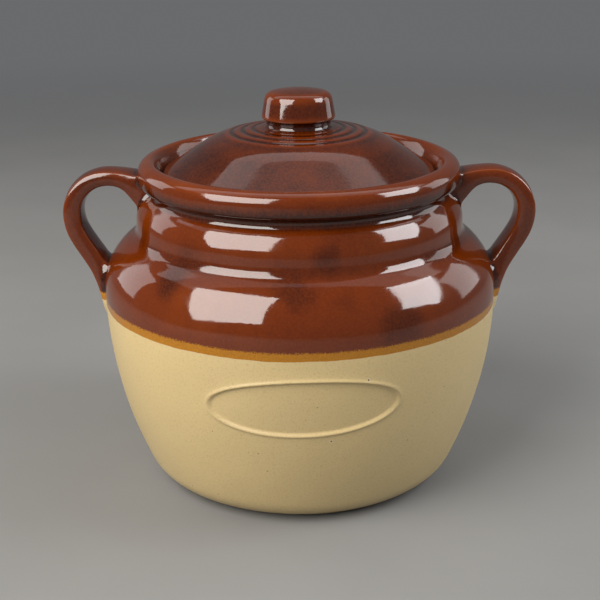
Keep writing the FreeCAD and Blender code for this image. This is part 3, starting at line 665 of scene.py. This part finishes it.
def cream_glaze_colour(finish, glaze, cloud):
    """The cream glaze: warm, faintly clouded and finely specked, with the ringed pinholes."""
    clouded, grainy, spot = (0.50, 0.375, 0.185), (0.30, 0.215, 0.10), (0.12, 0.07, 0.03)
    pale, pit = (0.72, 0.60, 0.36), (0.16, 0.11, 0.06)
    cream = finish.blend(finish.between(cloud, 0.3, 0.7, 0, 0.35), glaze.cream, clouded)
    grain = finish.noise(1300, 3, 0.7, seed=6.3)
    cream = finish.blend(finish.between(grain, 0.48, 0.72, 0, 0.5), cream, grainy)
    lone = finish.between(finish.spots(260), 0.10, 0.05)
    few = finish.between(finish.noise(180, 0, 0.5, seed=8.8), 0.60, 0.64)
    cream = finish.blend(finish.maths("MULTIPLY", lone, few), cream, spot)
    for pinhole in PINHOLES:
        away = finish.distance_from(pinhole)
        ring = finish.maths("MULTIPLY", finish.between(away, 1.05 * MM, 0.8 * MM), 0.6)
        cream = finish.blend(ring, cream, pale)
        cream = finish.blend(finish.between(away, 0.62 * MM, 0.42 * MM), cream, pit)
    return cream


def dipped_material(glaze):
    """Brown glaze down to the dip line, a mustard band, and cream glaze over buff clay below."""
    finish = Finish("Dipped stoneware")
    brown = brown_glaze_colour(finish, glaze)
    cloud = finish.noise(20, 4, 0.55, seed=11.0)
    cream = cream_glaze_colour(finish, glaze, cloud)

    # The two borders of the mustard band, each a little uneven.
    height = finish.add("ShaderNodeSeparateXYZ", {0: finish.place}).outputs["Z"]
    wander = finish.between(finish.noise(14, 2, 0.5, seed=12.5), 0.2, 0.8, -0.4 * MM, 0.4 * MM)
    ragged = finish.between(finish.noise(160, 3, 0.6, seed=13.1), 0.2, 0.8, -0.16 * MM, 0.16 * MM)
    level = finish.maths("ADD", height, finish.maths("ADD", wander, ragged))
    run = finish.between(finish.noise(1500, 2, 0.6, seed=14.2), 0.3, 0.7, -0.5 * MM, 0.5 * MM)
    upper = finish.maths("ADD", level, run)
    dip, band_foot = glaze.dip_height, glaze.dip_height - glaze.band_width
    above_band = finish.between(upper, dip - 0.5 * MM, dip + 0.6 * MM)
    above_cream = finish.between(level, band_foot - 0.18 * MM, band_foot + 0.18 * MM)
    mottle = finish.between(finish.noise(1400, 2, 0.6, seed=15.0), 0.35, 0.65, 0, 0.6)
    mustard = finish.blend(mottle, glaze.mustard, (0.25, 0.085, 0.002))
    colour = finish.blend(above_band, finish.blend(above_cream, cream, mustard), brown)

    # Inside, the brown glaze lines the whole pot; the foot ring is bare clay.
    inside = finish.attribute("lining")
    colour = finish.blend(inside, colour, brown)
    bare = finish.between(height, 0.6 * MM, 0.2 * MM)
    sandy = finish.between(finish.noise(700, 3, 0.6, seed=16.0), 0.4, 0.7, 0, 0.5)
    clay = finish.blend(sandy, glaze.clay, (0.30, 0.20, 0.11))
    finish.link(finish.blend(bare, colour, clay), "Base Color")

    # Brown and mustard shine, cream is matt and clay is rough.
    glossy = finish.maths("MAXIMUM", inside, above_cream)
    matt = finish.between(cloud, 0.3, 0.7, 0.36, 0.46)
    matt = finish.maths("MULTIPLY", matt, finish.maths("SUBTRACT", 1, glossy))
    rough = finish.maths("ADD", matt, finish.maths("MULTIPLY", glaze_sheen(finish), glossy))
    finish.link(finish.maths("MAXIMUM", rough, finish.maths("MULTIPLY", bare, 0.8)), "Roughness")

    tooth = finish.noise(520, 4, 0.6, seed=17.0)
    tooth = finish.maths("MULTIPLY", tooth, finish.maths("SUBTRACT", 1.15, glossy))
    finish.link(finish.bump(tooth, 0.06 * MM, 0.5, Normal=glaze_relief(finish)), "Normal")
    finish.surface.inputs["IOR"].default_value = GLAZE_IOR
    return finish.material


def settings_of(context):
    return context.scene.bean_pot


def dipped(context):
    return bpy.data.materials.get("Dipped stoneware") or dipped_material(settings_of(context).glaze)


def brown(context):
    return bpy.data.materials.get("Brown glaze") or lid_material(settings_of(context).glaze)


def oval_relief(points, normals, pot):
    """How far the bare oval and its lip move each point of the wall, in metres.

    The oval is an ellipse with faintly full corners, which leans a little to one side.
    """
    middle, lean, power = math.radians(0.8), math.radians(1.3), 2.05
    lip_height, lip_width = 0.62 * MM, 0.75 * MM
    skirt_height, skirt_width = 0.30 * MM, 2.6 * MM
    step_width = 0.32 * MM
    azimuth = np.arctan2(points[:, 0], -points[:, 1])
    across = (azimuth - middle) * np.hypot(points[:, 0], points[:, 1])
    up = points[:, 2] - pot.oval_middle
    half_wide, half_high = pot.oval_width / 2, pot.oval_height / 2
    x = (across * math.cos(lean) + up * math.sin(lean)) / half_wide
    y = (up * math.cos(lean) - across * math.sin(lean)) / half_high
    level = (np.abs(x) ** power + np.abs(y) ** power) ** (1 / power)
    slope = np.hypot(np.abs(x) ** (power - 1) / half_wide, np.abs(y) ** (power - 1) / half_high)
    distance = (level - 1) * level ** (power - 1) / np.maximum(slope, 1e-9)
    lip = lip_height * np.exp(-(distance / lip_width) ** 2)
    ground = -pot.oval_depth * 0.5 * (1 - np.tanh((distance + lip_width) / step_width))
    # The lip's upper side runs out softly into the wall.
    skirt = skirt_height * np.clip(y, 0, 1) * np.exp(-(np.maximum(distance, 0) / skirt_width) ** 2)
    skirt = np.where(distance > -0.4 * MM, skirt, 0)
    front = (normals[:, 1] < -0.2) & (np.abs(azimuth) < 0.9)
    return np.where(front, lip + ground + skirt, 0)


class BEANPOT_OT_pot(bpy.types.Operator):
    """Turn the pot, lay the bare oval into its front and line its inside"""

    bl_idname = "bean_pot.pot"
    bl_label = "Pot"

    def execute(self, context):
        pot = settings_of(context).pot
        form = PotForm(pot)
        line = softened(form.outside() + form.inside(), softness=1.0 * MM)
        inner = np.arange(len(line)) > np.argmax(line[:, 1])
        by_oval = np.abs(line[:, 1] - pot.oval_middle) < 0.6 * pot.oval_height
        inner_weight, oval_weight = 0.4, 3.4
        weight = np.where(inner, inner_weight, np.where(by_oval, oval_weight, 1.0))
        line = chosen(line, pot.rows, weight=weight)
        # The rim carries its glaze thin on the crest and is painted darker down its upright side: partly
        # glaze that gathers there, partly painted shade where the side turns from the light.
        rim_inside, rim_foot, rim_middle, half_rim = 69 * MM, 144 * MM, 151.5 * MM, 4 * MM
        crest_share = np.clip((line[:, 1] - rim_middle) / half_rim, -1, 1)
        on_rim = (line[:, 0] > rim_inside) & (line[:, 1] > rim_foot)
        amount = np.where(on_rim, 0.32 + 0.30 * crest_share, glaze_over(line, 1.6 * MM))
        piece = turned(
            "stoneware_pot", line, amount, dipped(context), pot.columns,
            crowding=0.62, unevenness=1.0 * MM, waviness=0.8, seed=3.0,
        )
        mesh = piece.data
        points, normals = points_and_normals(mesh)
        outer = line[:np.argmax(line[:, 1])]
        outer = outer[np.argsort(outer[:, 1], kind="stable")]
        skin, above_foot = 3 * MM, 5 * MM
        lining_reach = np.interp(points[:, 2], outer[:, 1], outer[:, 0]) - skin
        lined = (np.hypot(points[:, 0], points[:, 1]) < lining_reach) & (points[:, 2] > above_foot)
        note(mesh, "lining", lined.astype(float))
        put_points(mesh, points + normals * oval_relief(points, normals, pot)[:, None])
        declare(piece, "pot", "pot_glaze", "pot_body")
        return {"FINISHED"}


def smooth_through(knots, values, places):
    """A curve through values at rising knots, with slopes taken from the neighbours."""
    slope = np.gradient(values, knots, axis=0)
    index = np.clip(np.searchsorted(knots, places, side="right") - 1, 0, len(knots) - 2)
    span = (knots[index + 1] - knots[index])[:, None]
    t = (places - knots[index])[:, None] / span
    first, second = values[index], values[index + 1]
    return (
        (2 * t ** 3 - 3 * t ** 2 + 1) * first + (t ** 3 - 2 * t ** 2 + t) * span * slope[index]
        + (3 * t ** 2 - 2 * t ** 3) * second + (t ** 3 - t ** 2) * span * slope[index + 1]
    )


def ear_stations():
    """The strap's sections: place across and up, turn from facing outwards, thickness, width."""
    centre, height, over = 92.3 * MM, 130.9 * MM, 17.6 * MM
    bend, lean, run = 24 * MM, math.radians(31.3), 15.2 * MM
    bend_centre = centre + over - bend
    # Lengths are in millimetres and turns in degrees. The arch, the bend and the straight fall
    # give a place along themselves instead.
    root = (
        (70.5, 138.0, 0, 22.6, 21.0), (75.5, 141.1, 0, 18.4, 20.2),
        (80.0, 144.3, 0, 13.8, 18.4), (85.0, 147.3, 4, 9.6, 17.0),
    )
    arch = ((14, 8.4, 16.4), (35, 8.9, 16.6), (60, 9.4, 17.0), (85, 9.7, 17.2))
    outer_bend = ((0.3, 9.7, 17.2), (0.65, 9.7, 17.2), (1.0, 9.7, 17.3))
    fall = ((0.5, 9.7, 17.8), (1.0, 9.8, 19.0))
    tail = (
        (94.8, 96.9, 18, 9.9, 21.6), (93.5, 90.6, 6, 8.6, 22.8), (93.0, 86.2, 0, 6.2, 20.4),
        (92.6, 83.0, -3, 5.2, 14.6), (92.2, 80.8, -6, 4.0, 5.4),
    )
    rows = [(x * MM, z * MM, math.radians(turn), *size) for x, z, turn, *size in root]
    for turn, *size in arch:
        angle = math.radians(turn)
        rows.append((centre + over * math.sin(angle), height + over * math.cos(angle), angle, *size))
    for share, *size in outer_bend:
        angle = lean * share
        low = (bend_centre + bend * math.cos(angle), height - bend * math.sin(angle))
        rows.append((*low, QUARTER + angle, *size))
    for share, *size in fall:
        place = (low[0] - run * share * math.sin(lean), low[1] - run * share * math.cos(lean))
        rows.append((*place, QUARTER + lean, *size))
    rows += [(x * MM, z * MM, QUARTER + math.radians(turn), *size) for x, z, turn, *size in tail]
    return np.array(rows) * (1, 1, 1, MM, MM)


def rounded_section(thick, wide, rounding, angle):
    """Points round a strap's section: a rectangle with round edges and slightly full faces."""
    power, fullness = 0.62, 1.35
    edge = np.minimum(rounding, 0.47 * thick)
    x, y = (np.sign(part) * np.abs(part) ** power for part in (np.cos(angle), np.sin(angle)))
    length = np.hypot(x, y)
    # The superellipse's direction is split into a corner place and a round part.
    corner_x = np.clip(x * fullness, -1, 1) * (wide / 2 - edge)
    corner_y = np.clip(y * fullness, -1, 1) * (thick / 2 - edge)
    return corner_x + edge * x / length, corner_y + edge * y / length


def wall_distance(points, line):
    """How far points lie outside a turned wall, below 0 inside it."""
    place = np.column_stack((np.hypot(points[:, 0], points[:, 1]), points[:, 2]))
    start, end = line[:-1], line[1:]
    way = end - start
    reach = np.einsum("ij,ij->i", way, way)
    best = np.full(len(place), np.inf)
    side = np.zeros(len(place))
    for first, step, square in zip(start, way, reach):
        share = np.clip((place - first) @ step / square, 0, 1)
        offset = place - first - share[:, None] * step
        distance = np.hypot(*offset.T)
        nearer = distance < best
        best = np.where(nearer, distance, best)
        side = np.where(nearer, step[1] * offset[:, 0] - step[0] * offset[:, 1], side)
    return np.sign(side) * best


def strap_faces(rows, around):
    """The faces of a tube, and the two fans that close it on its last two points."""
    ring = [(step, (step + 1) % around) for step in range(around)]
    last_row, first_end = (rows - 1) * around, rows * around
    faces = [
        (row + a, row + b, row + b + around, row + a + around)
        for row in range(0, last_row, around) for a, b in ring
    ]
    for a, b in ring:
        faces.append((first_end, b, a))
        faces.append((first_end + 1, last_row + a, last_row + b))
    return faces


class BEANPOT_OT_ears(bpy.types.Operator):
    """Pull the two strap ears and smooth their ends into the wall"""

    bl_idname = "bean_pot.ears"
    bl_label = "Ears"

    def execute(self, context):
        settings = settings_of(context)
        rows = ear_stations()
        knots = np.append(0, np.cumsum(np.hypot(*np.diff(rows[:, :2], axis=0).T)))
        rows = smooth_through(knots, rows, np.linspace(0, knots[-1], settings.ear.steps_along))
        wall = chosen(softened(PotForm(settings.pot).outside()), 150)
        self.pull(context, "ear_right", "handle_right", 1, rows, wall)
        self.pull(context, "ear_left", "handle_left", -1, rows, wall)
        return {"FINISHED"}

    def pull(self, context, name, node, side, rows, wall):
        ear = settings_of(context).ear
        angle = np.linspace(0, 2 * math.pi, ear.steps_around, endpoint=False)
        x, z, turn, thick, wide = rows.T[:, :, None]
        across, up = rounded_section(thick, wide, ear.rounding, angle[None, :])
        # A pulled strap is a little fuller on one edge and wavers along its length.
        drift = np.linspace(0, 9, len(rows))[:, None]
        fuller = 1 + 0.015 * np.sin(drift * 1.7 + side)
        across = across * fuller + 0.25 * MM * np.sin(drift * 0.9 + 2 * side)
        points = np.stack((side * (x + up * np.sin(turn)), across, z + up * np.cos(turn)), axis=-1)
        ends = points[[0, -1]].mean(axis=1)
        mesh = bpy.data.meshes.new(name)
        vertices = np.vstack((points.reshape(-1, 3), ends))
        mesh.from_pydata(vertices.tolist(), [], strap_faces(len(rows), ear.steps_around))
        mesh.update()
        face_outwards(mesh)
        vertices, normals = points_and_normals(mesh)
        distance = wall_distance(vertices, wall)
        # The joint is thumbed down: wide at the tail, tighter under the rim.
        tail_top, climb_height = 100 * MM, 25 * MM
        climb = np.clip((vertices[:, 2] - tail_top) / climb_height, 0, 1)
        width = ear.fillet * (1.5 - 0.8 * climb)
        spread = np.clip(1 - distance / width, 0, 1.6) ** 2 * width * 0.42
        spread[-len(ends):] = 0
        vertices = vertices + normals * spread[:, None]
        limit = ear.reach + 0.3 * MM
        vertices[:, 0] = np.clip(vertices[:, 0], -limit, limit)
        put_points(mesh, vertices)
        # The glaze breaks over the strap's edges and pools where it meets the wall.
        edge = np.append(np.tile(np.abs(np.sin(2 * angle)) ** 4, len(rows)), np.zeros(len(ends)))
        on_flat, at_edge, at_wall, pool_width = 0.28, 0.45, 0.5, 2.6 * MM
        pooling = np.clip(1 - distance / pool_width, 0, 1)
        note(mesh, "glaze", np.clip(on_flat + at_edge * edge - at_wall * pooling, 0, 1))
        note(mesh, "lining", np.zeros(len(vertices)))
        mesh.shade_smooth()
        mesh.materials.append(dipped(context))
        declare(placed(name, mesh), "pot", "brown_glaze", node)


class BEANPOT_OT_lid(bpy.types.Operator):
    """Turn the loose lid with its rings, and the knob on its crown"""

    bl_idname = "bean_pot.lid"
    bl_label = "Lid and knob"

    def execute(self, context):
        lid = settings_of(context).lid
        line = ring_the_crown(softened(lid_outline(lid)), lid.rings)
        line = chosen(line, lid.rows, rough=0.6)
        amount = glaze_over(line, 1.0 * MM, drained=0.34)
        piece = turned("glazed_lid", line, amount, brown(context), lid.columns)
        declare(piece, "lid", "brown_glaze", "lid")

        line = softened(knob_outline(lid), step=0.12 * MM, softness=0.28 * MM)
        line = chosen(line, lid.knob_rows, rough=0.8)
        amount = glaze_over(line, 0.7 * MM, drained=0.26)
        piece = turned(
            "glazed_knob", line, amount, brown(context), lid.columns * 3 // 4,
            unevenness=0.25 * MM, waviness=2.0, seed=8.0,
        )
        declare(piece, "lid", "brown_glaze", "lid_knob")
        return {"FINISHED"}


def panel(name, azimuth, elevation, distance, width, height, radiance, colour=(1, 1, 1), roll=0):
    """A soft light panel that faces the pot. Azimuth 0 is the viewer's side, +90 the right."""
    lamp = bpy.data.lights.new(name, "AREA")
    lamp.shape = "RECTANGLE"
    lamp.size = width
    lamp.size_y = height
    lamp.energy = radiance * math.pi * width * height
    lamp.color = colour
    light = placed(name, lamp)
    turn, rise = math.radians(azimuth), math.radians(elevation)
    way = Vector((math.sin(turn) * math.cos(rise), -math.cos(turn) * math.cos(rise), math.sin(rise)))
    mid_pot = Vector((0, 0, 0.10))
    light.location = mid_pot + way * distance
    facing = way.to_track_quat("Z", "Y").to_matrix() @ Matrix.Rotation(math.radians(roll), 3, "Z")
    light.rotation_euler = facing.to_euler()


def seen_or_mirrored(tree):
    """1 where the camera, a mirror image or a look through glass meets this surface, else 0."""
    path = add_node(tree, "ShaderNodeLightPath").outputs
    seen = calculate(tree, "MAXIMUM", path["Is Camera Ray"], path["Is Glossy Ray"])
    return calculate(tree, "MAXIMUM", seen, path["Is Transmission Ray"])


def floor_material(stage):
    """Pale matt studio paper, which runs into the backdrop's grey far from the pot."""
    finish = Finish("Studio paper")
    darker = [0.95 * channel for channel in stage.floor_colour]
    mottle = finish.between(finish.noise(9, 3, 0.5, seed=21.0), 0.35, 0.65)
    finish.link(finish.blend(mottle, stage.floor_colour, darker), "Base Color")
    finish.surface.inputs["Roughness"].default_value = 0.85
    finish.surface.inputs["Specular IOR Level"].default_value = 0.2
    far = finish.between(finish.distance_from((0, 0, 0)), 0.4, 1.6)
    share = finish.maths("MULTIPLY", far, seen_or_mirrored(finish.tree))
    glow = finish.add("ShaderNodeEmission", {"Color": ROOM_COLOUR, "Strength": stage.backdrop})
    shaders = {0: share, 1: finish.surface.outputs[0], 2: glow.outputs[0]}
    mix = finish.add("ShaderNodeMixShader", shaders)
    finish.tree.links.new(mix.outputs[0], finish.tree.nodes["Material Output"].inputs["Surface"])
    return finish.material


class BEANPOT_OT_stage(bpy.types.Operator):
    """Lay the floor, hang the lights and place the camera"""

    bl_idname = "bean_pot.stage"
    bl_label = "Stage"

    def execute(self, context):
        stage = settings_of(context).stage
        reach = 12.0
        mesh = bpy.data.meshes.new("studio_floor")
        corners = [(-reach, -reach, 0), (reach, -reach, 0), (reach, reach, 0), (-reach, reach, 0)]
        mesh.from_pydata(corners, [], [(0, 1, 2, 3)])
        mesh.materials.append(floor_material(stage))
        floor = placed("studio_floor", mesh)

        bright = stage.softbox
        panel("softbox_left", -47, 37, 1.15, 0.90, 1.05, bright, (1, 0.965, 0.91), roll=15)
        panel("softbox_right", 82, 33, 1.15, 0.52, 0.76, bright, (0.97, 0.985, 1), roll=-28)
        panel("side_left", -117, 17, 1.2, 0.50, 0.66, 0.22 * bright)
        panel("side_right", 113, 17, 1.2, 0.50, 0.66, 0.22 * bright)
        panel("ceiling_back", 180, 67, 1.3, 2.8, 0.38, 0.12 * bright)
        panel("ceiling_middle", 180, 85, 1.3, 2.8, 0.44, 0.055 * bright)

        world = bpy.data.worlds.new("Studio room")
        context.scene.world = world
        world.use_nodes = True
        tree = world.node_tree
        background = tree.nodes["Background"].inputs
        background["Color"].default_value = ROOM_COLOUR
        seen = calculate(tree, "MULTIPLY", seen_or_mirrored(tree), stage.backdrop - stage.room)
        tree.links.new(calculate(tree, "ADD", seen, stage.room), background["Strength"])
        context.scene.view_settings.view_transform = "Standard"

        if stage.from_photo:
            lens = bpy.data.cameras.new("photograph_view")
            lens.sensor_width = 36
            lens.lens = lens.sensor_width * FOCAL_PIXELS / PHOTO_SIZE
            lens.clip_start = 0.01
            camera = placed("photograph_view", lens)
            pitch = Matrix.Rotation(QUARTER - CAMERA_DOWN, 4, "X")
            roll = Matrix.Rotation(CAMERA_ROLL, 4, "Z")
            camera.matrix_world = Matrix.Translation(CAMERA_PLACE) @ pitch @ roll
            context.scene.camera = camera
        return {"FINISHED"}


class BEANPOT_PT_panel(bpy.types.Panel):
    """Bean pot settings and steps"""

    bl_label = "Bean Pot"
    bl_idname = "BEANPOT_PT_panel"
    bl_space_type = "VIEW_3D"
    bl_region_type = "UI"
    bl_category = "Bean Pot"

    def draw(self, context):
        layout = self.layout
        settings = settings_of(context)
        for group in (settings.pot, settings.ear, settings.lid, settings.glaze, settings.stage):
            box = layout.box()
            for name in group.bl_rna.properties.keys():
                if name not in ("rna_type", "name"):
                    box.prop(group, name)
        for step in STEPS:
            layout.operator(step.bl_idname)


STEPS = (BEANPOT_OT_stage, BEANPOT_OT_pot, BEANPOT_OT_ears, BEANPOT_OT_lid)
GROUPS = (PotSettings, EarSettings, LidSettings, GlazeSettings, StageSettings, BeanPotSettings)


def register():
    for item in (*GROUPS, *STEPS, BEANPOT_PT_panel):
        bpy.utils.register_class(item)
    bpy.types.Scene.bean_pot = PointerProperty(type=BeanPotSettings)


def unregister():
    del bpy.types.Scene.bean_pot
    for item in reversed((*GROUPS, *STEPS, BEANPOT_PT_panel)):
        bpy.utils.unregister_class(item)


def main():
    register()
    bpy.ops.bean_pot.stage()
    bpy.ops.bean_pot.pot()
    bpy.ops.bean_pot.ears()
    bpy.ops.bean_pot.lid()


if __name__ == "__main__":
    main()
